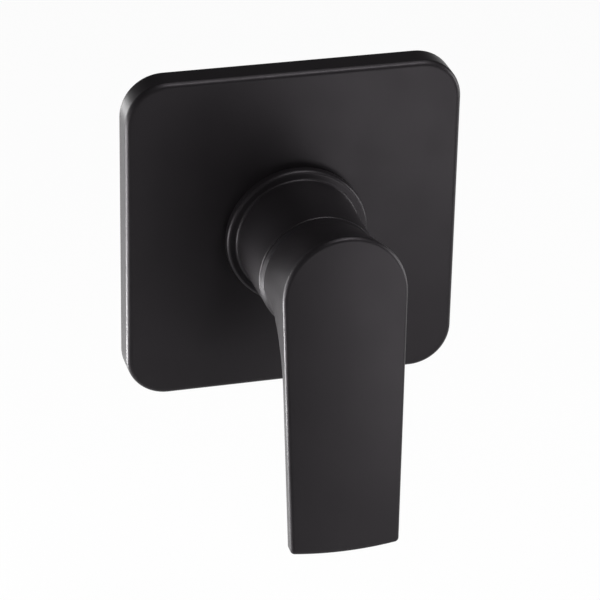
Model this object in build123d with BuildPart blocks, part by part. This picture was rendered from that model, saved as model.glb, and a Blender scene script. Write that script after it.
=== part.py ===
from build123d import *
from math import asin, atan2, cos, hypot, radians, sin, sqrt, tan
import os

os.makedirs("parts", exist_ok=True)

# Frame: the origin is on the mixer's axis in the plane of the finished wall, the wall is towards +Y,
# the user is towards -Y, +Z is up. A "reach" is a distance from the wall plane towards the user.

# Cover plate, a pressed square shell
plate_size = 120.0
plate_depth = 10.2
plate_corner = 15.0
plate_edge = 2.0
plate_wall = 1.2
gasket_width = 6.0

# Flanged sleeve between plate and handle, lengths measured from the plate's face
ring_radius = 25.5
ring_height = 6.0
ring_edge = 1.2
ring_blend = 0.8
ring_relief_height = 2.8
ring_relief_depth = 1.6
sleeve_foot_radius = 22.0
sleeve_end_radius = 21.4
sleeve_length = 34.9
sleeve_end_edge = 0.6
sleeve_tail_radius = 22.2
sleeve_tail = 5.0
plate_hole_clearance = 0.4
plate_seal_width = 3.0
plate_seal_height = 3.0

# Handle: round base, waist band beside the rim, flat tapered lever
rim_gap = 0.8
rim_radius = 21.4
rim_land = 0.5
waist_radius = 20.85
waist_length = 3.0
face_reach = 78.2
face_lean = 0.08
face_rise = 7.9
face_radius = 21.7
face_edge = 1.5
crown_rise = 0.85
foot_drop = 86.5
foot_half_width = 19.4
foot_sag = 1.0
foot_corner = 1.6
lever_thickness = 4.5
under_radius = 32.0
under_drop = 26.0
under_sweep = 56.0
shelf_drop = 2.0
under_blend = 3.0

# Handle inside: spherical hollow about the pivot, hub, core pocket and set screw
hub_radius = 8.5
hub_start = 1.5
core_radius = 13.0
core_depth = 16.0
screw_radius = 2.5
screw_length = 8.0
screw_hex = 2.5
screw_from_rim = 12.0
plug_radius = 3.2
plug_drop = 15.5

# Lever motion
pivot_behind_rim = 18.0
lift_range = 25.0

# Valve body in the wall
neck_radius = 20.0
neck_wall = 2.4
neck_reach = 39.5
nut_thread_radius = 18.5
chamber_floor = -3.0
barrel_radius = 23.0
barrel_front = -2.0
barrel_back = -34.0
arm_depth = 17.0
arm_radius = 13.0
arm_span = 44.0
outlet_span = 36.0
casting_blend = 1.6
boss_flats = 28.0
boss_length = 9.0
port_radius = 9.3
port_depth = 14.0
passage_radius = 5.0
passage_end = 6.5
riser_radius = 4.0
lug_circle = 31.0
lug_width = 14.0
lug_depth = 20.0
lug_thickness = 6.0
lug_hole_radius = 2.75
plug_seal_thickness = 2.0
plug_hex = 24.0
plug_head = 6.0
plug_inset = 0.6
thread_clearance = 0.05

# Cartridge
cartridge_radius = 17.5
shell_wall = 1.8
shell_shoulder = 33.5
shell_shoulder_wall = 2.3
shell_neck_radius = 13.0
shell_neck_reach = 40.0
nut_height = 5.0
nut_bore_clearance = 0.4
nut_slots = 6
nut_slot_width = 4.0
nut_slot_depth = 2.0
nut_edge = 0.5
guide_neck_radius = 11.5
guide_neck_stand = 0.5
guide_foot = 20.6
running_clearance = 0.08
base_reach = 5.0
seal_stand = 0.5
seal_section = 2.0
seal_wall = 1.5
disc_radius = 15.0
disc_thickness = 4.0
disc_film = 0.05
slider_radius = 13.0
slider_top = 20.0
tongue_top = 23.0
tongue_half_width = 6.5
tongue_clearance = 0.3
port_offset = 9.0
port_drop = 4.5
peg_radius = 1.5
peg_length = 2.5
peg_offset = 12.5
peg_rise = 6.0
peg_clearance = 0.15
disc_port_radius = 3.4
mixing_depth = 2.4
mixing_radius = 9.0

# Stem on its pivot pin
stem_width = 7.0
stem_height = 6.4
stem_top = 32.0
stem_eye_radius = 4.0
stem_arm = 10.0
stem_arm_width = 5.0
stem_arm_height = 4.4
ball_radius = 3.0
slot_clearance = 0.35
socket_clearance = 0.4
hub_fit = 0.1
pin_radius = 1.5
pin_half_length = 13.0
pin_clearance = 0.05

# Round seals
o_ring_section = 0.7
o_ring_gap = 0.03
neck_ring_reaches = (16.0, 30.0)
guide_ring_inset = 4.5

# Places that follow from the sizes above
plate_face = plate_depth
sleeve_end = plate_face + sleeve_length
rim_reach = sleeve_end + rim_gap
pivot_reach = rim_reach - pivot_behind_rim
hollow_radius = hypot(rim_radius - rim_land, pivot_behind_rim)
ball_reach = pivot_reach - stem_arm
guide_neck_reach = shell_neck_reach + guide_neck_stand
guide_ring_reach = shell_neck_reach - guide_ring_inset
chamber_radius = neck_radius - neck_wall
sleeve_bore = neck_radius + 2 * o_ring_gap
shell_bore = cartridge_radius - shell_wall
guide_flange_radius = shell_bore - running_clearance
shell_ceiling = shell_shoulder - shell_shoulder_wall
guide_flange_top = shell_ceiling - running_clearance
fixed_disc_top = base_reach + disc_thickness
moving_disc_foot = fixed_disc_top + disc_film
slider_foot = moving_disc_foot + disc_thickness
slider_travel = stem_arm * sin(radians(lift_range))
slider_rise = slider_travel / 2
lift = radians(lift_range)
crown_radius = (face_radius**2 + crown_rise**2) / (2 * crown_rise)
screw_place = rim_reach + screw_from_rim


def on_section(radius, reach):
    """Point of a half section that is turned about the mixer's axis."""
    return (radius, -reach)


def turned_ring(inner, outer, low, high):
    """Plain ring about the mixer's axis, between two reaches."""
    with BuildPart() as ring:
        with BuildSketch(Plane.XZ.offset(low)):
            Circle(outer)
            Circle(inner, mode=Mode.SUBTRACT)
        extrude(amount=high - low)
    return ring.part


def round_seal(inside, reach):
    """O-ring that seats in a groove whose mating bore has the radius given."""
    with BuildPart() as seal:
        with BuildSketch(Plane.XY):
            with Locations(on_section(inside - o_ring_gap - o_ring_section, reach)):
                Circle(o_ring_section)
        revolve(axis=Axis.Y)
    return seal.part


def save(part, name):
    """Label a finished piece and write it."""
    part.label = name
    export_step(part, f"parts/{name}.step")


# Cover plate
with BuildPart() as cover_plate:
    with BuildSketch(Plane.XZ):
        RectangleRounded(plate_size, plate_size, plate_corner)
    extrude(amount=plate_depth)
    fillet(cover_plate.faces().sort_by(Axis.Y)[0].edges(), plate_edge)
    offset(amount=-plate_wall, openings=cover_plate.faces().sort_by(Axis.Y)[-1])
    with BuildSketch(Plane.XZ):
        Circle(sleeve_tail_radius + plate_hole_clearance)
    extrude(amount=plate_depth, mode=Mode.SUBTRACT)
save(cover_plate.part, "cover_plate")

# Foam gasket along the plate's rim, between its back and the wall
with BuildPart() as wall_gasket:
    gasket_size = plate_size - 2 * plate_wall - 2 * plate_hole_clearance
    with BuildSketch(Plane.XZ):
        RectangleRounded(gasket_size, gasket_size, plate_corner - plate_wall - plate_hole_clearance)
        hole_size = gasket_size - 2 * gasket_width
        RectangleRounded(
            hole_size, hole_size, plate_corner - plate_wall - gasket_width, mode=Mode.SUBTRACT
        )
    extrude(amount=plate_depth - plate_wall)
    chamfer(wall_gasket.faces().sort_by(Axis.Y)[0].outer_wire().edges(), plate_edge)
save(wall_gasket.part, "wall_gasket")

# Flanged sleeve, turned
with BuildPart() as collar_sleeve:
    with BuildSketch(Plane.XY):
        with BuildLine():
            tail_end = plate_face - sleeve_tail
            shoulder = plate_face + ring_height
            wall_foot = plate_face + ring_relief_height
            wall_top = shoulder - ring_edge
            blend_end = shoulder + ring_blend
            Polyline(
                on_section(sleeve_foot_radius, blend_end),
                on_section(sleeve_end_radius, sleeve_end - sleeve_end_edge),
            )
            Line(
                on_section(sleeve_end_radius - sleeve_end_edge, sleeve_end),
                on_section(sleeve_bore, sleeve_end),
            )
            RadiusArc(
                on_section(sleeve_end_radius, sleeve_end - sleeve_end_edge),
                on_section(sleeve_end_radius - sleeve_end_edge, sleeve_end),
                sleeve_end_edge,
            )
            Polyline(
                on_section(sleeve_bore, sleeve_end),
                on_section(sleeve_bore, tail_end),
                on_section(sleeve_tail_radius, tail_end),
                on_section(sleeve_tail_radius, plate_face),
                on_section(ring_radius - ring_relief_depth, plate_face),
                on_section(ring_radius - ring_relief_depth, wall_foot),
                on_section(ring_radius, wall_foot),
                on_section(ring_radius, wall_top),
            )
            RadiusArc(
                on_section(ring_radius, wall_top),
                on_section(ring_radius - ring_edge, shoulder),
                ring_edge,
            )
            Line(
                on_section(ring_radius - ring_edge, shoulder),
                on_section(sleeve_foot_radius + ring_blend, shoulder),
            )
            RadiusArc(
                on_section(sleeve_foot_radius + ring_blend, shoulder),
                on_section(sleeve_foot_radius, blend_end),
                -ring_blend,
            )
        make_face()
    revolve(axis=Axis.Y)
save(collar_sleeve.part, "collar_sleeve")

# Rubber ring behind the plate's hole
plate_back = plate_depth - plate_wall
plate_seal_inner = sleeve_tail_radius + thread_clearance
plate_seal = turned_ring(
    plate_seal_inner, plate_seal_inner + plate_seal_width, plate_back - plate_seal_height, plate_back
)
save(plate_seal, "plate_seal")

# Two rings that grip the sleeve on the valve's neck
neck_rings = Compound(children=[round_seal(sleeve_bore, reach) for reach in neck_ring_reaches])
save(neck_rings, "neck_o_rings")

# Valve body: neck, barrel, two inlet arms, two outlet arms and fixing lugs
with BuildPart() as mixer_body:
    with BuildSketch(Plane.XZ.offset(barrel_back)):
        Circle(barrel_radius)
    extrude(amount=barrel_front - barrel_back)
    with BuildSketch(Plane.XZ.offset(barrel_front)):
        Circle(neck_radius)
    extrude(amount=neck_reach - barrel_front)
    with BuildSketch(Plane.YZ.offset(-arm_span)):
        with Locations((arm_depth, 0)):
            Circle(arm_radius)
    extrude(amount=2 * arm_span)
    with BuildSketch(Plane.XY.offset(-outlet_span)):
        with Locations((0, arm_depth)):
            Circle(arm_radius)
    extrude(amount=2 * outlet_span)
    fillet(mixer_body.edges().filter_by(GeomType.BSPLINE), casting_blend)
    # Spanner flats round the ports
    for side in (-1, 1):
        with BuildSketch(Plane.YZ.offset(side * arm_span)):
            with Locations((arm_depth, 0)):
                RegularPolygon(boss_flats / 2, 6, major_radius=False)
        extrude(amount=-side * boss_length)
        with BuildSketch(Plane.XY.offset(side * outlet_span)):
            with Locations((0, arm_depth)):
                RegularPolygon(boss_flats / 2, 6, major_radius=False)
        extrude(amount=-side * boss_length)
    # Fixing lugs
    with BuildSketch(Plane.XZ.offset(-lug_depth - lug_thickness)):
        for turn in (45, 135):
            SlotCenterToCenter(2 * lug_circle, lug_width, rotation=turn)
    extrude(amount=lug_thickness)
    # Cartridge chamber with the threaded mouth of the ring nut
    with BuildSketch(Plane.XZ.offset(chamber_floor)):
        Circle(chamber_radius)
    extrude(amount=neck_reach - chamber_floor, mode=Mode.SUBTRACT)
    with BuildSketch(Plane.XZ.offset(shell_shoulder)):
        Circle(nut_thread_radius)
    extrude(amount=neck_reach - shell_shoulder, mode=Mode.SUBTRACT)
    # Threaded ports, and the passages behind them
    for side in (-1, 1):
        with BuildSketch(Plane.YZ.offset(side * arm_span)):
            with Locations((arm_depth, 0)):
                Circle(port_radius)
        extrude(amount=-side * port_depth, mode=Mode.SUBTRACT)
        with BuildSketch(Plane.YZ.offset(side * arm_span)):
            with Locations((arm_depth, 0)):
                Circle(passage_radius)
        extrude(amount=-side * (arm_span - passage_end), mode=Mode.SUBTRACT)
        with BuildSketch(Plane.XY.offset(side * outlet_span)):
            with Locations((0, arm_depth)):
                Circle(port_radius)
        extrude(amount=-side * port_depth, mode=Mode.SUBTRACT)
    with BuildSketch(Plane.XY.offset(-outlet_span)):
        with Locations((0, arm_depth)):
            Circle(riser_radius)
    extrude(amount=2 * outlet_span, mode=Mode.SUBTRACT)
    with BuildSketch(Plane.XZ.offset(-arm_depth)):
        with Locations((-port_offset, -port_drop), (port_offset, -port_drop), (0, port_offset)):
            Circle(disc_port_radius)
    extrude(amount=arm_depth + chamber_floor, mode=Mode.SUBTRACT)
    # Locating holes of the cartridge's pegs
    with BuildSketch(Plane.XZ.offset(chamber_floor)):
        with Locations((-peg_offset, peg_rise), (peg_offset, peg_rise)):
            Circle(peg_radius + peg_clearance)
    extrude(amount=-peg_length, mode=Mode.SUBTRACT)
    # Lug holes
    with BuildSketch(Plane.XZ.offset(-lug_depth - lug_thickness)):
        with PolarLocations(lug_circle, 4, start_angle=45):
            Circle(lug_hole_radius)
    extrude(amount=lug_thickness, mode=Mode.SUBTRACT)
    # Ring grooves on the neck
    with BuildSketch(Plane.XY):
        with Locations(*[on_section(neck_radius, reach) for reach in neck_ring_reaches]):
            Rectangle(4 * o_ring_section, 2 * o_ring_section + 2 * o_ring_gap)
    revolve(axis=Axis.Y, mode=Mode.SUBTRACT)
save(mixer_body.part, "mixer_body")

# Plug of the lower outlet, with its seal
with BuildPart() as outlet_plug_seal:
    with BuildSketch(Plane.XY.offset(-outlet_span - plug_seal_thickness)):
        with Locations((0, arm_depth)):
            Circle(arm_radius - plug_inset)
            Circle(port_radius, mode=Mode.SUBTRACT)
    extrude(amount=plug_seal_thickness)
save(outlet_plug_seal.part, "outlet_plug_seal")

with BuildPart() as outlet_plug:
    head_face = -outlet_span - plug_seal_thickness
    with BuildSketch(Plane.XY.offset(head_face)):
        with Locations((0, arm_depth)):
            RegularPolygon(plug_hex / 2, 6, major_radius=False)
    extrude(amount=-plug_head)
    chamfer(outlet_plug.faces().sort_by(Axis.Z)[0].edges(), plug_inset)
    with BuildSketch(Plane.XY.offset(head_face)):
        with Locations((0, arm_depth)):
            Circle(port_radius - thread_clearance)
    extrude(amount=port_depth)
save(outlet_plug.part, "outlet_plug")

# Ring nut over the cartridge's shoulder
with BuildPart() as retaining_nut:
    with BuildSketch(Plane.XZ.offset(shell_shoulder)):
        Circle(nut_thread_radius - thread_clearance)
        Circle(shell_neck_radius + nut_bore_clearance, mode=Mode.SUBTRACT)
    extrude(amount=nut_height)
    chamfer(retaining_nut.faces().sort_by(Axis.Y)[0].edges(), nut_edge)
    with BuildSketch(Plane.XZ.offset(shell_shoulder + nut_height - nut_slot_depth)):
        with PolarLocations(nut_thread_radius, nut_slots):
            Rectangle(nut_thread_radius - shell_neck_radius, nut_slot_width)
    extrude(amount=nut_slot_depth, mode=Mode.SUBTRACT)
save(retaining_nut.part, "retaining_nut")

# Cartridge shell
with BuildPart() as cartridge_housing:
    with BuildSketch(Plane.XY):
        with BuildLine():
            guide_bore = guide_neck_radius + running_clearance
            Polyline(
                on_section(shell_bore, base_reach),
                on_section(cartridge_radius, base_reach),
                on_section(cartridge_radius, shell_shoulder),
                on_section(shell_neck_radius, shell_shoulder),
                on_section(shell_neck_radius, shell_neck_reach),
                on_section(guide_bore, shell_neck_reach),
                on_section(guide_bore, shell_ceiling),
                on_section(shell_bore, shell_ceiling),
                close=True,
            )
        make_face()
    revolve(axis=Axis.Y)
save(cartridge_housing.part, "cartridge_housing")

# The three water ways, seen on the cartridge's foot and on the fixed disc
water_ways = [(-port_offset, -port_drop), (port_offset, -port_drop), (0, port_offset)]
seal_radius = disc_port_radius + seal_wall

# Cartridge foot with its ports and a seal recess round each, below and above
with BuildPart() as cartridge_base:
    base_foot = chamber_floor + seal_stand
    with BuildSketch(Plane.XZ.offset(base_foot)):
        Circle(cartridge_radius)
    extrude(amount=base_reach - base_foot)
    with BuildSketch(Plane.XZ.offset(base_foot)):
        with Locations(*water_ways):
            Circle(disc_port_radius)
    extrude(amount=base_reach - base_foot, mode=Mode.SUBTRACT)
    with BuildSketch(Plane.XZ.offset(base_foot)):
        with Locations(*water_ways):
            Circle(seal_radius)
    extrude(amount=seal_section - seal_stand, mode=Mode.SUBTRACT)
    with BuildSketch(Plane.XZ.offset(base_reach)):
        with Locations(*water_ways):
            Circle(seal_radius)
    extrude(amount=-seal_section, mode=Mode.SUBTRACT)
    with BuildSketch(Plane.XZ.offset(base_foot)):
        with Locations((-peg_offset, peg_rise), (peg_offset, peg_rise)):
            Circle(peg_radius)
    extrude(amount=-peg_length)
save(cartridge_base.part, "cartridge_base")


def port_seals(foot):
    """Three round seals, one at each water way, standing on the reach given."""
    with BuildPart() as seals:
        with BuildSketch(Plane.XZ.offset(foot)):
            with Locations(*water_ways):
                Circle(seal_radius - thread_clearance)
            with Locations(*water_ways):
                Circle(disc_port_radius, mode=Mode.SUBTRACT)
        extrude(amount=seal_section)
    return seals.part


save(port_seals(chamber_floor), "base_seals")
save(port_seals(base_reach - seal_section), "disc_seals")

# Fixed ceramic disc
with BuildPart() as fixed_disc:
    with BuildSketch(Plane.XZ.offset(base_reach)):
        Circle(disc_radius)
        with Locations(*water_ways):
            Circle(disc_port_radius, mode=Mode.SUBTRACT)
    extrude(amount=disc_thickness)
save(fixed_disc.part, "fixed_disc")

# Moving ceramic disc, with the mixing hollow in its underside
with BuildPart() as moving_disc:
    with BuildSketch(Plane.XZ.offset(moving_disc_foot)):
        with Locations((0, slider_rise)):
            Circle(slider_radius)
    extrude(amount=disc_thickness)
    with BuildSketch(Plane.XZ.offset(moving_disc_foot)):
        with Locations((0, slider_rise)):
            Circle(mixing_radius)
    extrude(amount=mixing_depth, mode=Mode.SUBTRACT)
save(moving_disc.part, "moving_disc")

# Slider on the moving disc: a tongue for the guide's channel, and a socket for the stem's ball
with BuildPart() as disc_carrier:
    with BuildSketch(Plane.XZ.offset(slider_foot)):
        with Locations((0, slider_rise)):
            Circle(slider_radius)
    extrude(amount=slider_top - slider_foot)
    with BuildSketch(Plane.XZ.offset(slider_top)):
        with Locations((0, slider_rise)):
            Circle(slider_radius)
            Rectangle(2 * tongue_half_width, 2 * slider_radius, mode=Mode.INTERSECT)
    extrude(amount=tongue_top - slider_top)
    with BuildSketch(Plane.XZ.offset(ball_reach - ball_radius - socket_clearance)):
        Rectangle(2 * (ball_radius + socket_clearance), 2 * (ball_radius + socket_clearance))
    extrude(amount=tongue_top, mode=Mode.SUBTRACT)
    with BuildSketch(Plane.XZ.offset(slider_top)):
        with Locations((0, slider_rise)):
            Rectangle(2 * (ball_radius + socket_clearance), 2 * (ball_radius + socket_clearance))
    extrude(amount=tongue_top - slider_top, mode=Mode.SUBTRACT)
save(disc_carrier.part, "disc_carrier")


def stem_edge(reach):
    """Highest point of the lifted stem at a reach, with the slot's clearance."""
    return (reach - pivot_reach) * tan(lift) + stem_height / 2 / cos(lift) + slot_clearance


# Rotor in the cartridge's neck: channel for the slider, slot for the stem, cross hole for the pin
with BuildPart() as swivel_guide:
    with BuildSketch(Plane.XZ.offset(guide_foot)):
        Circle(guide_flange_radius)
    extrude(amount=guide_flange_top - guide_foot)
    with BuildSketch(Plane.XZ.offset(guide_flange_top)):
        Circle(guide_neck_radius)
    extrude(amount=guide_neck_reach - guide_flange_top)
    with BuildSketch(Plane.XZ.offset(guide_foot)):
        Rectangle(2 * (tongue_half_width + tongue_clearance), 2 * cartridge_radius)
    channel_top = tongue_top + tongue_clearance
    extrude(amount=channel_top - guide_foot, mode=Mode.SUBTRACT)
    with BuildSketch(Plane.YZ):
        with BuildLine():
            eye = stem_eye_radius + slot_clearance
            eye_top = pivot_reach + eye
            low = stem_height / 2 + slot_clearance
            arm_swing = (pivot_reach - channel_top) * tan(lift) + stem_arm_height / 2 / cos(lift)
            arm_low = arm_swing + slot_clearance
            Polyline(
                (-guide_foot, -arm_low),
                (-guide_foot, eye),
                (-pivot_reach, eye),
                (-eye_top, stem_edge(eye_top)),
                (-guide_neck_reach, stem_edge(guide_neck_reach)),
                (-guide_neck_reach, -low),
                (-eye_top, -low),
                (-pivot_reach, -arm_low),
                close=True,
            )
        make_face()
    extrude(amount=stem_width / 2 + slot_clearance, both=True, mode=Mode.SUBTRACT)
    with BuildSketch(Plane.YZ):
        with Locations((-pivot_reach, 0)):
            Circle(pin_radius)
    extrude(amount=pin_half_length, both=True, mode=Mode.SUBTRACT)
    with BuildSketch(Plane.XY):
        with Locations(on_section(guide_neck_radius, guide_ring_reach)):
            Rectangle(4 * o_ring_section, 2 * o_ring_section + 2 * o_ring_gap)
    revolve(axis=Axis.Y, mode=Mode.SUBTRACT)
save(swivel_guide.part, "swivel_guide")
save(round_seal(guide_bore, guide_ring_reach), "guide_o_ring")

with BuildPart() as pivot_pin:
    with BuildSketch(Plane.YZ.offset(-pin_half_length)):
        with Locations((-pivot_reach, 0)):
            Circle(pin_radius)
    extrude(amount=2 * pin_half_length)
save(pivot_pin.part, "pivot_pin")

# Stem: square end for the hub, eye on the pin, thin arm and ball below
with BuildPart() as stem:
    with BuildSketch(Plane.XZ.offset(pivot_reach)):
        Rectangle(stem_width, stem_height)
    extrude(amount=stem_top)
    chamfer(stem.faces().sort_by(Axis.Y)[0].edges(), slot_clearance)
    with BuildSketch(Plane.YZ):
        with Locations((-pivot_reach, 0)):
            Circle(stem_eye_radius)
    extrude(amount=stem_width / 2, both=True)
    with BuildSketch(Plane.XZ.offset(ball_reach)):
        Rectangle(stem_arm_width, stem_arm_height)
    extrude(amount=stem_arm)
    with BuildSketch(Plane.XY):
        with Locations(on_section(0, ball_reach)):
            Circle(ball_radius)
            Rectangle(2 * ball_radius, 2 * ball_radius, align=(Align.MAX, Align.CENTER), mode=Mode.SUBTRACT)
    revolve(axis=Axis.Y)
    with BuildSketch(Plane.YZ):
        with Locations((-pivot_reach, 0)):
            Circle(pin_radius + pin_clearance)
    extrude(amount=stem_width, both=True, mode=Mode.SUBTRACT)
save(stem.part, "stem")

# Handle sections: the rim, the waist beside it and the front, which leans out at the bottom
axis_slope = face_rise / (face_reach - rim_reach)
waist_reach = rim_reach + waist_length
front_plane = Plane(
    origin=(0, -face_reach - crown_rise - face_edge, 0), x_dir=(1, 0, 0), z_dir=(0, -1, face_lean)
)
sections = [
    (Plane.XZ.offset(rim_reach), rim_radius, 0.0),
    (Plane.XZ.offset(waist_reach), waist_radius, axis_slope * waist_length),
    (front_plane, face_radius, face_rise),
]


def paddle_outline(plane, radius, rise):
    """Round head with sides that run down tangent to it, to a slightly bowed foot."""
    half_width = foot_half_width - face_radius + radius
    fall = rise + foot_drop
    lean = radians(90) - asin(radius / hypot(half_width, fall)) - atan2(fall, half_width)
    touch = Vector(radius * cos(lean), rise + radius * sin(lean))
    with BuildSketch(plane) as outline:
        with BuildLine():
            ThreePointArc((-touch.X, touch.Y), (0, rise + radius), touch)
            Line(touch, (half_width, -foot_drop))
            ThreePointArc((half_width, -foot_drop), (0, -foot_drop - foot_sag), (-half_width, -foot_drop))
            Line((-half_width, -foot_drop), (-touch.X, touch.Y))
        make_face()
        fillet(outline.vertices().group_by(Axis.Y)[0], foot_corner)
    return outline.sketch


# The round base alone, which stays when the underside is cut away
with BuildPart() as round_base:
    for plane, radius, rise in sections:
        with BuildSketch(plane):
            with Locations((0, rise)):
                Circle(radius)
    loft(ruled=True)

# The space under the handle: behind the lever and below the round base
with BuildPart() as underside:
    with BuildSketch(Plane.YZ):
        with BuildLine():
            up = Vector(face_lean, 1).normalized()
            back_start = face_reach - lever_thickness * sqrt(1 + face_lean**2)
            low_point = Vector(-back_start - face_lean * 2 * foot_drop, -2 * foot_drop)
            turn_point = Vector(-back_start - face_lean * under_drop, -under_drop)
            Line(low_point, turn_point)
            curve = JernArc(turn_point, up, under_radius, -under_sweep)
            Polyline(
                curve @ 1,
                (-rim_reach + rim_gap, -shelf_drop),
                (-rim_reach + rim_gap, -2 * foot_drop),
                low_point,
            )
        make_face()
    extrude(amount=2 * face_radius, both=True)
    add(round_base.part, mode=Mode.SUBTRACT)
    curved_back = underside.faces().filter_by(GeomType.CYLINDER)[0]
    fillet(curved_back.edges().filter_by(GeomType.BSPLINE), under_blend)

# Handle, hollow under its round base, with a hub on the stem's square end
with BuildPart() as handle:
    loft([paddle_outline(*section) for section in sections], ruled=True)
    # Front face, bowed across its width
    with BuildSketch(Plane(origin=(0, -face_reach, 0), x_dir=(1, 0, 0), z_dir=(0, face_lean, 1))):
        with Locations((0, crown_radius - crown_rise)):
            Circle(crown_radius)
    extrude(amount=2 * foot_drop, both=True, mode=Mode.INTERSECT)
    fillet(handle.faces().sort_by(Axis.Y)[0].edges(), face_edge)
    add(underside.part, mode=Mode.SUBTRACT)
    # Hollow that clears the sleeve's end while the handle lifts, and the core round the hub
    with BuildSketch(Plane.XY):
        with Locations(on_section(0, pivot_reach)):
            Circle(hollow_radius)
        with Locations(on_section(0, rim_reach)):
            Rectangle(core_radius, core_depth, align=(Align.MIN, Align.MAX))
            Rectangle(4 * rim_radius, 4 * rim_radius, align=(Align.CENTER, Align.MIN), mode=Mode.SUBTRACT)
        with Locations(on_section(0, rim_reach + hub_start)):
            Rectangle(hub_radius, 2 * core_depth, align=(Align.MIN, Align.MAX), mode=Mode.SUBTRACT)
        Rectangle(2 * face_reach, 4 * face_reach, align=(Align.MAX, Align.CENTER), mode=Mode.SUBTRACT)
    revolve(axis=Axis.Y, mode=Mode.SUBTRACT)
    with BuildSketch(Plane.XZ.offset(pivot_reach)):
        Rectangle(stem_width + 2 * hub_fit, stem_height + 2 * hub_fit)
    extrude(amount=stem_top + hub_fit, mode=Mode.SUBTRACT)
    # Set screw's hole, from the underside, with the seat of its plug
    with BuildSketch(Plane.XY):
        with Locations(on_section(0, screw_place)):
            Circle(screw_radius)
    extrude(amount=-rim_radius, mode=Mode.SUBTRACT)
    with BuildSketch(Plane.XY.offset(-plug_drop)):
        with Locations(on_section(0, screw_place)):
            Circle(plug_radius)
    extrude(amount=-rim_radius, mode=Mode.SUBTRACT)
save(handle.part, "handle")

# Set screw with a hexagon socket
with BuildPart() as grub_screw:
    with BuildSketch(Plane.XY.offset(-stem_height / 2)):
        with Locations(on_section(0, screw_place)):
            Circle(screw_radius - thread_clearance)
    extrude(amount=-screw_length)
    with BuildSketch(Plane.XY.offset(-stem_height / 2 - screw_length)):
        with Locations(on_section(0, screw_place)):
            RegularPolygon(screw_hex / 2, 6, major_radius=False)
    extrude(amount=screw_hex, mode=Mode.SUBTRACT)
save(grub_screw.part, "grub_screw")

# Plug of the set screw's hole, flush with the round base
with BuildPart() as screw_plug:
    with BuildSketch(Plane.XY.offset(-plug_drop)):
        with Locations(on_section(0, screw_place)):
            Circle(plug_radius - thread_clearance)
    extrude(amount=-rim_radius)
    add(round_base.part, mode=Mode.INTERSECT)
save(screw_plug.part, "screw_plug")
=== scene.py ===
"""Looks of a concealed single-lever shower mixer in satin black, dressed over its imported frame."""
import logging
import math
from dataclasses import dataclass, field
from enum import Enum

import bpy
from mathutils import Matrix, Vector


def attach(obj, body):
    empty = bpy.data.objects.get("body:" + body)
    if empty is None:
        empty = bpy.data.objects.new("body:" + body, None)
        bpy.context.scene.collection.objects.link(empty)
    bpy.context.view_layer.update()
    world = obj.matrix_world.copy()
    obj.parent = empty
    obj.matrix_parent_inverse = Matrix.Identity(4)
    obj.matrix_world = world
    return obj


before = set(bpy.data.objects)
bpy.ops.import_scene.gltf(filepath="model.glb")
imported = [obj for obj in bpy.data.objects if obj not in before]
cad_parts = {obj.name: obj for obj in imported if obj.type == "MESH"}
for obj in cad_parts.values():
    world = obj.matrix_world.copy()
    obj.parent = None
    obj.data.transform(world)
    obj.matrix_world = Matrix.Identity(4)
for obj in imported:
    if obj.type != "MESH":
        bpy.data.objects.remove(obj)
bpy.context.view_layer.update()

MM = 0.001
LOG = logging.getLogger("shower_mixer")

Colour = tuple[float, float, float]
Point = tuple[float, float, float]
Span = tuple[float, float]
Face = tuple[int, ...]
WHITE: Colour = (1.0, 1.0, 1.0)


class Body(Enum):
    """Bodies of the mixer that added pieces ride on."""

    FIXED = "root"


class Slot(Enum):
    """Names of the brass and black-plug material slots."""

    BRASS = "brass"
    PLUG = "plug_black"


class Blend(Enum):
    """Kinds of mixture: the Mix node's type, and where its two inputs and its result of that type are."""

    COLOUR = ("RGBA", 6, 7, 2)
    NUMBER = ("FLOAT", 2, 3, 0)


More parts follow.
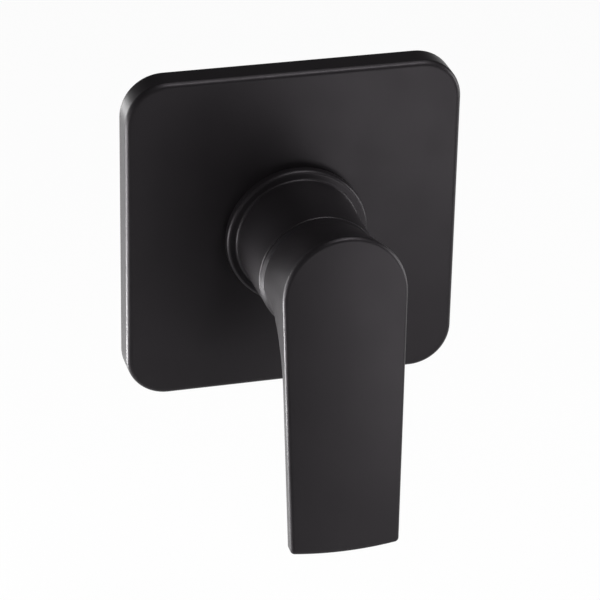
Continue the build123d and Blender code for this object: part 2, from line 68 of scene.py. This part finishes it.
class Sheet:
    """Node tree under construction, with short calls to place and join nodes."""

    def __init__(self, tree: bpy.types.NodeTree) -> None:
        """Keep the tree that nodes are added to."""
        self.tree = tree

    def add(self, kind: str, **values: object) -> bpy.types.Node:
        """Place a node and set its attributes and unlinked inputs.

        Args:
            kind: Node type name, such as ShaderNodeMix.
            values: Attributes by name; input values by socket name with underscores for spaces.

        Returns:
            The new node.
        """
        node = self.tree.nodes.new(kind)
        for name, value in values.items():
            if hasattr(node, name):
                setattr(node, name, value)
            else:
                node.inputs[name.replace("_", " ")].default_value = value
        return node

    def join(self, start: bpy.types.NodeSocket, end: bpy.types.NodeSocket) -> None:
        """Link an output socket to an input socket."""
        self.tree.links.new(start, end)

    def blend(
        self,
        kind: Blend,
        share: bpy.types.NodeSocket,
        first: bpy.types.NodeSocket | Colour,
        second: Colour | float,
    ) -> bpy.types.NodeSocket:
        """Mix two colours or two numbers.

        Args:
            kind: What is mixed.
            share: Mask that says how much of the second is taken.
            first: Socket or colour to start from.
            second: Colour or number to go to.

        Returns:
            Socket of the mixture.
        """
        data_type, low, high, result = kind.value
        node = self.add("ShaderNodeMix", data_type=data_type)
        self.join(share, node.inputs["Factor"])
        if isinstance(first, bpy.types.NodeSocket):
            self.join(first, node.inputs[low])
        else:
            node.inputs[low].default_value = (*first, 1.0)
        node.inputs[high].default_value = (*second, 1.0) if kind is Blend.COLOUR else second
        return node.outputs[result]

    def ease(self, axis: str, place: str, span: Span, ends: Span) -> bpy.types.NodeSocket:
        """Pass smoothly from one number to another along an axis.

        Args:
            axis: X, Y or Z.
            place: Texture coordinate to measure in.
            span: Where the change starts and ends on the axis.
            ends: Numbers before and after the change.

        Returns:
            Socket of the number.
        """
        where = self.add("ShaderNodeTexCoord")
        split = self.add("ShaderNodeSeparateXYZ")
        fall = self.add("ShaderNodeMapRange", interpolation_type="SMOOTHSTEP")
        fall.inputs["From Min"].default_value, fall.inputs["From Max"].default_value = span
        fall.inputs["To Min"].default_value, fall.inputs["To Max"].default_value = ends
        self.join(where.outputs[place], split.inputs["Vector"])
        self.join(split.outputs[axis], fall.inputs["Value"])
        return fall.outputs["Result"]


def effect_group(name: str, inputs: dict[str, float], outputs: list[str]) -> tuple[bpy.types.NodeTree, Sheet]:
    """Start a shader node group with number sockets.

    Args:
        name: Name of the group.
        inputs: Input names with their usual values.
        outputs: Output names.

    Returns:
        The group and a sheet to fill it with.
    """
    group = bpy.data.node_groups.new(name, "ShaderNodeTree")
    for socket, value in inputs.items():
        new = group.interface.new_socket(socket, in_out="INPUT", socket_type="NodeSocketFloat")
        new.default_value = value
    for socket in outputs:
        group.interface.new_socket(socket, in_out="OUTPUT", socket_type="NodeSocketFloat")
    return group, Sheet(group)


class Effects:
    """Shared surface effects, each built once as a node group."""

    MOTTLE_FROM = 0.3
    MOTTLE_TO = 0.7

    def __init__(self) -> None:
        """Build the groups."""
        self.grain = self._grain()
        self.mottle = self._mottle()
        self.machined = self._machined()

    @staticmethod
    def _grain() -> bpy.types.NodeTree:
        """Fine even grain of a sprayed or moulded skin.

        Returns:
            Group with a Height output that follows a small-scale noise.
        """
        group, sheet = effect_group("fine_grain", {"Scale": 1500.0, "Softness": 0.5}, ["Height"])
        way_in = sheet.add("NodeGroupInput")
        way_out = sheet.add("NodeGroupOutput")
        place = sheet.add("ShaderNodeTexCoord")
        noise = sheet.add("ShaderNodeTexNoise", Detail=3.0)
        sheet.join(place.outputs["Object"], noise.inputs["Vector"])
        sheet.join(way_in.outputs["Scale"], noise.inputs["Scale"])
        sheet.join(way_in.outputs["Softness"], noise.inputs["Roughness"])
        sheet.join(noise.outputs["Fac"], way_out.inputs["Height"])
        return group

    @classmethod
    def _mottle(cls) -> bpy.types.NodeTree:
        """Slow, faint change over a surface, such as uneven gloss.

        Returns:
            Group with a Mask output between Low and High.
        """
        inputs = {"Scale": 40.0, "Low": 0.0, "High": 1.0}
        group, sheet = effect_group("soft_mottle", inputs, ["Mask"])
        way_in = sheet.add("NodeGroupInput")
        way_out = sheet.add("NodeGroupOutput")
        place = sheet.add("ShaderNodeTexCoord")
        noise = sheet.add("ShaderNodeTexNoise", Detail=2.0, Roughness=0.4)
        spread = sheet.add("ShaderNodeMapRange", interpolation_type="SMOOTHSTEP")
        spread.inputs["From Min"].default_value = cls.MOTTLE_FROM
        spread.inputs["From Max"].default_value = cls.MOTTLE_TO
        sheet.join(place.outputs["Object"], noise.inputs["Vector"])
        sheet.join(way_in.outputs["Scale"], noise.inputs["Scale"])
        sheet.join(noise.outputs["Fac"], spread.inputs["Value"])
        sheet.join(way_in.outputs["Low"], spread.inputs["To Min"])
        sheet.join(way_in.outputs["High"], spread.inputs["To Max"])
        sheet.join(spread.outputs["Result"], way_out.inputs["Mask"])
        return group

    @staticmethod
    def _machined() -> bpy.types.NodeTree:
        """Find the faced-off ends of a casting by their distance from the middle.

        Returns:
            Group with a Mask output that is 1 past Reach X or Reach Z.
        """
        inputs = {"Reach X": 0.04, "Reach Z": 0.04}
        group, sheet = effect_group("machined_ends", inputs, ["Mask"])
        way_in = sheet.add("NodeGroupInput")
        way_out = sheet.add("NodeGroupOutput")
        place = sheet.add("ShaderNodeTexCoord")
        split = sheet.add("ShaderNodeSeparateXYZ")
        either = sheet.add("ShaderNodeMath", operation="MAXIMUM")
        sheet.join(place.outputs["Object"], split.inputs["Vector"])
        for row, axis in enumerate("XZ"):
            far = sheet.add("ShaderNodeMath", operation="ABSOLUTE")
            past = sheet.add("ShaderNodeMath", operation="GREATER_THAN")
            sheet.join(split.outputs[axis], far.inputs[0])
            sheet.join(far.outputs[0], past.inputs[0])
            sheet.join(way_in.outputs[f"Reach {axis}"], past.inputs[1])
            sheet.join(past.outputs[0], either.inputs[row])
        sheet.join(either.outputs[0], way_out.inputs["Mask"])
        return group


@dataclass(frozen=True)
class Finish:
    """Surface finish: two close tones, a range of gloss, and a fine grain."""

    name: str
    dark: Colour
    light: Colour
    roughness_low: float
    roughness_high: float
    metallic: float = 0.0
    specular: float = 0.5
    specular_tint: Colour = WHITE
    mottle_scale: float = 40.0
    gloss_ratio: float = 1.7
    grain_scale: float = 1500.0
    grain_depth: float = 0.00001

    def surface(self, sheet: Sheet, effects: Effects) -> tuple[bpy.types.NodeSocket, ...]:
        """Lay out what changes over the surface.

        Args:
            sheet: Node tree of the material.
            effects: Shared node groups.

        Returns:
            Sockets of colour, roughness and height.
        """
        tone = sheet.add("ShaderNodeGroup", node_tree=effects.mottle, Scale=self.mottle_scale)
        gloss = sheet.add(
            "ShaderNodeGroup", node_tree=effects.mottle, Scale=self.mottle_scale * self.gloss_ratio
        )
        gloss.inputs["Low"].default_value = self.roughness_low
        gloss.inputs["High"].default_value = self.roughness_high
        colour = sheet.blend(Blend.COLOUR, tone.outputs["Mask"], self.dark, self.light)
        grain = sheet.add("ShaderNodeGroup", node_tree=effects.grain, Scale=self.grain_scale)
        return colour, gloss.outputs["Mask"], grain.outputs["Height"]

    def material(self, effects: Effects) -> bpy.types.Material:
        """Build the finish as a material.

        Args:
            effects: Shared node groups.

        Returns:
            The material.
        """
        material = bpy.data.materials.new(self.name)
        material.use_nodes = True
        sheet = Sheet(material.node_tree)
        shader = material.node_tree.nodes["Principled BSDF"]
        shader.inputs["Metallic"].default_value = self.metallic
        shader.inputs["Specular IOR Level"].default_value = self.specular
        shader.inputs["Specular Tint"].default_value = (*self.specular_tint, 1.0)
        colour, roughness, height = self.surface(sheet, effects)
        bump = sheet.add("ShaderNodeBump", Distance=self.grain_depth)
        sheet.join(colour, shader.inputs["Base Color"])
        sheet.join(roughness, shader.inputs["Roughness"])
        sheet.join(height, bump.inputs["Height"])
        sheet.join(bump.outputs["Normal"], shader.inputs["Normal"])
        return material


@dataclass(frozen=True)
class CastFinish(Finish):
    """Cast skin whose ends are faced off to bright metal."""

    bright: Colour = (0.40, 0.29, 0.13)
    bright_roughness: float = 0.60
    bright_height: float = 0.5
    reach_x: float = 43.9 * MM
    reach_z: float = 35.9 * MM

    def surface(self, sheet: Sheet, effects: Effects) -> tuple[bpy.types.NodeSocket, ...]:
        """Lay out the skin, and the bright ends over it.

        Args:
            sheet: Node tree of the material.
            effects: Shared node groups.

        Returns:
            Sockets of colour, roughness and height.
        """
        colour, roughness, height = super().surface(sheet, effects)
        ends = sheet.add("ShaderNodeGroup", node_tree=effects.machined)
        ends.inputs["Reach X"].default_value = self.reach_x
        ends.inputs["Reach Z"].default_value = self.reach_z
        mask = ends.outputs["Mask"]
        return (
            sheet.blend(Blend.COLOUR, mask, colour, self.bright),
            sheet.blend(Blend.NUMBER, mask, roughness, self.bright_roughness),
            sheet.blend(Blend.NUMBER, mask, height, self.bright_height),
        )


SATIN_BLACK = Finish(
    "satin_black", (0.0072, 0.0064, 0.0072), (0.0088, 0.0078, 0.0088), 0.37, 0.41, specular=0.20,
    specular_tint=(1.0, 0.93, 1.0)
)
CAST_BRASS = CastFinish(
    "cast_brass", (0.39, 0.265, 0.112), (0.46, 0.325, 0.142), 0.50, 0.62, metallic=1.0, mottle_scale=90.0,
    grain_depth=0.00015
)
TURNED_BRASS = Finish("turned_brass", (0.48, 0.34, 0.15), (0.56, 0.41, 0.19), 0.40, 0.48, metallic=1.0)
SEAL_RUBBER = Finish("seal_rubber", (0.012, 0.012, 0.012), (0.02, 0.02, 0.02), 0.5, 0.62)
FOAM = Finish(
    "foam", (0.035, 0.035, 0.038), (0.06, 0.06, 0.064), 0.85, 0.95, specular=0.3, grain_depth=0.0003
)
WHITE_ACETAL = Finish("white_acetal", (0.72, 0.73, 0.74), (0.80, 0.81, 0.82), 0.36, 0.44)
GREY_ACETAL = Finish("grey_acetal", (0.16, 0.17, 0.19), (0.21, 0.22, 0.24), 0.38, 0.46)
CERAMIC = Finish("ceramic", (0.78, 0.77, 0.73), (0.85, 0.84, 0.80), 0.12, 0.18)
STEEL = Finish("steel", (0.50, 0.50, 0.51), (0.60, 0.60, 0.61), 0.25, 0.34, metallic=1.0)
PLUG_BLACK = Finish("plug_black", (0.012, 0.012, 0.012), (0.018, 0.018, 0.018), 0.40, 0.48)


@dataclass
class Wardrobe:
    """Finishes as materials, each made once and shared by the pieces that wear it."""

    effects: Effects
    made: dict[str, bpy.types.Material] = field(default_factory=dict)

    def material(self, finish: Finish) -> bpy.types.Material:
        """Find or make the material of a finish.

        Args:
            finish: Finish to wear.

        Returns:
            The material.
        """
        if finish.name not in self.made:
            self.made[finish.name] = finish.material(self.effects)
        return self.made[finish.name]

    def dress(self, piece: bpy.types.Object, finish: Finish) -> None:
        """Put a finish on a piece.

        Args:
            piece: Mesh object.
            finish: Finish to wear.
        """
        piece.data.materials.clear()
        piece.data.materials.append(self.material(finish))

    def dress_nodes(self, finish: Finish, *nodes: str) -> None:
        """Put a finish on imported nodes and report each.

        Args:
            finish: Finish to wear.
            nodes: Names of the nodes.
        """
        for node in nodes:
            self.dress(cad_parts[node], finish)
            LOG.info("%s: %s", node, finish.name)


def mesh_piece(name: str, points: list[Vector] | list[Point], faces: list[Face]) -> bpy.types.Object:
    """Make a mesh object and put it in the scene.

    Args:
        name: Name of the piece.
        points: Corners of the mesh.
        faces: Corner numbers of each face, in order seen from outside.

    Returns:
        The piece.
    """
    mesh = bpy.data.meshes.new(name)
    mesh.from_pydata(points, [], faces)
    piece = bpy.data.objects.new(name, mesh)
    bpy.context.collection.objects.link(piece)
    return piece


@dataclass
class PortThread:
    """Helical ridge of an inside pipe thread, cut in a port of the casting.

    The half widths of its foot and its crest are shares of the pitch.
    """

    name: str
    mouth: Point
    inward: Point
    root_radius: float = 9.36 * MM
    crest_radius: float = 8.62 * MM
    pitch: float = 1.814 * MM
    foot_half: float = 0.46
    crest_half: float = 0.08
    lead: float = 1.4 * MM
    length: float = 11.0 * MM
    steps_per_turn: int = 56
    fade_turns: float = 0.5

    def section(self, share: float) -> list[tuple[float, float]]:
        """Draw the ridge's section.

        Args:
            share: Height of the ridge there, from 0 to 1.

        Returns:
            Corners from the mouth inward, as distance along the port and radius.
        """
        crest = self.root_radius - share * (self.root_radius - self.crest_radius)
        foot, top = self.foot_half * self.pitch, self.crest_half * self.pitch
        return [(-foot, self.root_radius), (-top, crest), (top, crest), (foot, self.root_radius)]

    def build(self) -> bpy.types.Object:
        """Sweep the ridge's section along the helix, fading out at both ends.

        Returns:
            The ridge as a mesh object that rides on the fixed body.
        """
        axis = Vector(self.inward)
        side = axis.orthogonal().normalized()
        other = axis.cross(side)
        turns = self.length / self.pitch
        count = int(turns * self.steps_per_turn)
        points: list[Vector] = []
        for step in range(count + 1):
            turn = turns * step / count
            share = min(1.0, turn / self.fade_turns, (turns - turn) / self.fade_turns)
            angle = math.tau * turn
            ray = math.cos(angle) * side + math.sin(angle) * other
            middle = Vector(self.mouth) + (self.lead + turn * self.pitch) * axis
            points += [middle + along * axis + radius * ray for along, radius in self.section(share)]
        row = len(points) // (count + 1)
        faces: list[Face] = [tuple(reversed(range(row))), tuple(range(count * row, len(points)))]
        for step in range(count):
            for k in range(row):
                low, high = row * step + k, row * step + (k + 1) % row
                faces.append((low, high, high + row, low + row))
        ridge = mesh_piece(self.name, points, faces)
        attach(ridge, Body.FIXED.value)
        return ridge


@dataclass
class SlipRing:
    """Black plastic bush in the sleeve's mouth, whose lip closes the gap under the handle."""

    name: str = "slip_ring"
    bore: float = 18.7 * MM
    seat_radius: float = 20.06 * MM
    lip_radius: float = 19.6 * MM
    foot_reach: float = 41.0 * MM
    seat_reach: float = 44.4 * MM
    lip_reach: float = 46.2 * MM
    steps: int = 128

    def build(self) -> bpy.types.Object:
        """Turn the bush's section about the mixer's axis.

        Returns:
            The bush as a mesh object that rides on the fixed body.
        """
        section = [
            (self.bore, self.foot_reach),
            (self.seat_radius, self.foot_reach),
            (self.seat_radius, self.seat_reach),
            (self.lip_radius, self.seat_reach + self.seat_radius - self.lip_radius),
            (self.lip_radius, self.lip_reach),
            (self.bore, self.lip_reach),
        ]
        points: list[Point] = []
        faces: list[Face] = []
        row = len(section)
        for step in range(self.steps):
            angle = math.tau * step / self.steps
            across, up = math.cos(angle), math.sin(angle)
            points += [(radius * across, -reach, radius * up) for radius, reach in section]
            here, after = row * step, row * ((step + 1) % self.steps)
            for k in range(row):
                nearby = (k + 1) % row
                faces.append((here + k, after + k, after + nearby, here + nearby))
        ring = mesh_piece(self.name, points, faces)
        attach(ring, Body.FIXED.value)
        return ring


@dataclass
class PlateSet:
    """Cover plate with its rubber ring and the foam that seals it to the wall."""

    finish: Finish = SATIN_BLACK

    def dress(self, wardrobe: Wardrobe) -> None:
        """Spray the plate and give its seals rubber and foam.

        Args:
            wardrobe: Shared materials.
        """
        wardrobe.dress_nodes(self.finish, "cover_plate")
        wardrobe.dress_nodes(FOAM, "wall_gasket")
        wardrobe.dress_nodes(SEAL_RUBBER, "plate_seal")


@dataclass
class SleeveSet:
    """Flanged sleeve round the valve's neck, with the rings that grip it and the bush in its mouth."""

    finish: Finish = SATIN_BLACK
    bush: SlipRing = field(default_factory=SlipRing)

    def build(self, wardrobe: Wardrobe) -> None:
        """Push the bush into the sleeve's mouth.

        Args:
            wardrobe: Shared materials.
        """
        wardrobe.dress(self.bush.build(), PLUG_BLACK)
        LOG.info("%s: %s", self.bush.name, PLUG_BLACK.name)

    def dress(self, wardrobe: Wardrobe) -> None:
        """Spray the sleeve and give its rings rubber.

        Args:
            wardrobe: Shared materials.
        """
        wardrobe.dress_nodes(self.finish, "collar_sleeve")
        wardrobe.dress_nodes(SEAL_RUBBER, "neck_o_rings")


@dataclass
class LeverSet:
    """Cast lever with its set screw and the plug over the screw."""

    finish: Finish = SATIN_BLACK

    def dress(self, wardrobe: Wardrobe) -> None:
        """Spray the lever, leave the screw in steel and the plug in black plastic.

        Args:
            wardrobe: Shared materials.
        """
        wardrobe.dress_nodes(self.finish, "handle")
        wardrobe.dress_nodes(STEEL, "grub_screw")
        wardrobe.dress_nodes(PLUG_BLACK, "screw_plug")


@dataclass
class ValveBody:
    """Brass casting in the wall with its three open ports and the plugged one."""

    arm_span: float = 44.0 * MM
    outlet_span: float = 36.0 * MM
    arm_depth: float = 17.0 * MM

    def build(self, wardrobe: Wardrobe) -> None:
        """Cut the threads in the open ports.

        Args:
            wardrobe: Shared materials.
        """
        for thread in (
            PortThread("hot_thread", (-self.arm_span, self.arm_depth, 0.0), (1.0, 0.0, 0.0)),
            PortThread("cold_thread", (self.arm_span, self.arm_depth, 0.0), (-1.0, 0.0, 0.0)),
            PortThread("outlet_thread", (0.0, self.arm_depth, self.outlet_span), (0.0, 0.0, -1.0)),
        ):
            wardrobe.dress(thread.build(), TURNED_BRASS)
            LOG.info("%s: %s", thread.name, TURNED_BRASS.name)

    def dress(self, wardrobe: Wardrobe) -> None:
        """Give the casting, its plug and the plug's ring their finishes.

        Args:
            wardrobe: Shared materials.
        """
        wardrobe.dress_nodes(CAST_BRASS, "mixer_body")
        wardrobe.dress_nodes(TURNED_BRASS, "outlet_plug")
        wardrobe.dress_nodes(SEAL_RUBBER, "outlet_plug_seal")


@dataclass
class Cartridge:
    """Mixing cartridge: shell and foot, ceramic discs, rotor, stem and the nut that holds it."""

    shell_finish: Finish = WHITE_ACETAL
    rotor_finish: Finish = GREY_ACETAL

    def dress(self, wardrobe: Wardrobe) -> None:
        """Give each cartridge piece its finish.

        Args:
            wardrobe: Shared materials.
        """
        wardrobe.dress_nodes(TURNED_BRASS, "retaining_nut", "stem")
        wardrobe.dress_nodes(self.shell_finish, "cartridge_housing", "cartridge_base")
        wardrobe.dress_nodes(self.rotor_finish, "swivel_guide", "disc_carrier")
        wardrobe.dress_nodes(CERAMIC, "fixed_disc", "moving_disc")
        wardrobe.dress_nodes(SEAL_RUBBER, "base_seals", "disc_seals", "guide_o_ring")
        wardrobe.dress_nodes(STEEL, "pivot_pin")


@dataclass
class Camera:
    """Camera that stands where the photograph was taken from."""

    azimuth_deg: float = 15.68
    elevation_deg: float = 27.33
    roll_deg: float = 1.22
    distance: float = 1.111
    lens_mm: float = 187.3
    clip_end: float = 50.0
    target: Point = (0.0029, -0.0102, -0.0280)

    def build(self) -> None:
        """Make the camera and set it as the scene's own."""
        azimuth, elevation = math.radians(self.azimuth_deg), math.radians(self.elevation_deg)
        roll = math.radians(self.roll_deg)
        level = math.cos(elevation)
        look = Vector((math.sin(azimuth) * level, math.cos(azimuth) * level, -math.sin(elevation)))
        right = Vector((math.cos(azimuth), -math.sin(azimuth), 0.0))
        up = right.cross(look)
        right_rolled = math.cos(roll) * right + math.sin(roll) * up
        up_rolled = math.cos(roll) * up - math.sin(roll) * right
        data = bpy.data.cameras.new("camera")
        data.lens = self.lens_mm
        data.clip_end = self.clip_end
        camera = bpy.data.objects.new("camera", data)
        bpy.context.collection.objects.link(camera)
        turn = Matrix((right_rolled, up_rolled, -look)).transposed().to_4x4()
        camera.matrix_world = Matrix.Translation(Vector(self.target) - self.distance * look) @ turn
        bpy.context.scene.camera = camera


@dataclass(frozen=True)
class SoftBox:
    """Rectangular studio lamp that points at the mixer."""

    name: str
    place: Point
    width: float
    height: float
    power: float
    aim: Point = (0.0, -0.03, -0.02)

    def build(self) -> None:
        """Make the lamp."""
        data = bpy.data.lights.new(self.name, "AREA")
        data.shape = "RECTANGLE"
        data.size = self.width
        data.size_y = self.height
        data.energy = self.power
        lamp = bpy.data.objects.new(self.name, data)
        lamp.location = self.place
        lamp.rotation_euler = (Vector(self.aim) - Vector(self.place)).to_track_quat("-Z", "Y").to_euler()
        lamp.visible_camera = False
        bpy.context.collection.objects.link(lamp)


LAMPS = (
    SoftBox("panel_left_back", (-0.75, 0.70, -0.12), 0.90, 0.24, 6.0),
    SoftBox("strip_left_back", (-0.33, 0.15, -0.215), 0.16, 0.06, 1.9, (-0.02, -0.07, -0.06)),
    SoftBox("strip_left", (-0.55, -0.01, -0.17), 0.60, 0.14, 5.0),
    SoftBox("panel_right", (1.00, -0.12, 0.00), 0.60, 0.60, 8.0),
    SoftBox("panel_right_front", (0.14, -0.28, -0.06), 0.16, 0.16, 0.29, (0.03, -0.02, 0.02)),
    SoftBox("panel_low_front", (0.05, -0.28, -0.235), 0.12, 0.06, 0.06, (0.01, -0.08, -0.05)),
    SoftBox("panel_top", (0.27, -0.80, 0.72), 0.75, 0.75, 1.0),
    SoftBox("panel_edge", (0.26, -0.47, 0.88), 0.30, 0.30, 5.0),
    SoftBox("panel_overhead", (0.25, 0.00, 1.10), 0.70, 0.70, 4.0),
)


@dataclass
class Studio:
    """Pale floor with painted shade toward the front, pale surroundings that darken overhead, soft lamps and
    the camera.
    """

    floor_level: float = -0.25
    floor_half: float = 6.0
    floor_tone: Colour = (0.85, 0.85, 0.85)
    floor_white: float = 0.95
    # Painted shade: strength the floor's seen white falls to toward the camera.
    painted_front_shade: float = 0.60
    front_from: float = -0.40
    front_to: float = 0.05
    horizon: float = 0.30
    zenith: float = 0.04
    dusk_from: float = 0.0
    dusk_to: float = 0.2
    lamps: tuple[SoftBox, ...] = LAMPS
    camera: Camera = field(default_factory=Camera)

    def build(self) -> None:
        """Make floor, world, lamps and camera."""
        self._floor()
        self._world()
        for lamp in self.lamps:
            lamp.build()
        self.camera.build()
        bpy.context.scene.view_settings.view_transform = "Standard"

    @staticmethod
    def _seen_share(sheet: Sheet, share: float) -> bpy.types.NodeSocket:
        """Mask of the rays that see the floor directly, in a mirror or through glass.

        Args:
            sheet: Node tree of the floor.
            share: Value of the mask for those rays.

        Returns:
            The mask's socket.
        """
        path = sheet.add("ShaderNodeLightPath")
        both = sheet.add("ShaderNodeMath", operation="MAXIMUM")
        seen = sheet.add("ShaderNodeMath", operation="MAXIMUM")
        part = sheet.add("ShaderNodeMath", operation="MULTIPLY")
        part.inputs[1].default_value = share
        sheet.join(path.outputs["Is Camera Ray"], both.inputs[0])
        sheet.join(path.outputs["Is Glossy Ray"], both.inputs[1])
        sheet.join(both.outputs[0], seen.inputs[0])
        sheet.join(path.outputs["Is Transmission Ray"], seen.inputs[1])
        sheet.join(seen.outputs[0], part.inputs[0])
        return part.outputs[0]

    def _floor(self) -> None:
        """Lay a pale floor that shows white, dimmed toward the front by painted shade, and keeps a faint
        shadow.
        """
        half, level = self.floor_half, self.floor_level
        corners = [(-half, -half, level), (half, -half, level), (half, half, level), (-half, half, level)]
        floor = mesh_piece("floor", corners, [(0, 1, 2, 3)])
        material = bpy.data.materials.new("pale_floor")
        material.use_nodes = True
        sheet = Sheet(material.node_tree)
        material.node_tree.nodes.remove(material.node_tree.nodes["Principled BSDF"])
        matte = sheet.add("ShaderNodeBsdfDiffuse", Color=(*self.floor_tone, 1.0))
        white = sheet.add("ShaderNodeEmission", Color=(*WHITE, 1.0))
        # Painted shade: the floor's seen white dims toward the front, darkening its reflection in the mixer.
        strength = sheet.ease("Y", "Object", (self.front_from, self.front_to), (self.painted_front_shade, 1.0))
        sheet.join(strength, white.inputs["Strength"])
        mixed = sheet.add("ShaderNodeMixShader")
        sheet.join(self._seen_share(sheet, self.floor_white), mixed.inputs[0])
        sheet.join(matte.outputs[0], mixed.inputs[1])
        sheet.join(white.outputs[0], mixed.inputs[2])
        sheet.join(mixed.outputs[0], material.node_tree.nodes["Material Output"].inputs["Surface"])
        floor.data.materials.append(material)

    def _world(self) -> None:
        """Surround the scene with a pale horizon under a dim ceiling."""
        world = bpy.data.worlds.new("studio")
        bpy.context.scene.world = world
        world.use_nodes = True
        sheet = Sheet(world.node_tree)
        around = world.node_tree.nodes["Background"]
        around.inputs["Color"].default_value = (*WHITE, 1.0)
        strength = sheet.ease("Z", "Generated", (self.dusk_from, self.dusk_to), (self.horizon, self.zenith))
        sheet.join(strength, around.inputs["Strength"])


def main() -> None:
    """Dress the mixer and set the studio."""
    logging.basicConfig(level=logging.INFO, format="%(name)s %(message)s")
    wardrobe = Wardrobe(Effects())
    sleeve, valve = SleeveSet(), ValveBody()
    for group in (sleeve, valve):
        group.build(wardrobe)
    for group in (PlateSet(), sleeve, LeverSet(), valve, Cartridge()):
        group.dress(wardrobe)
    Studio().build()


if __name__ == "__main__":
    main()
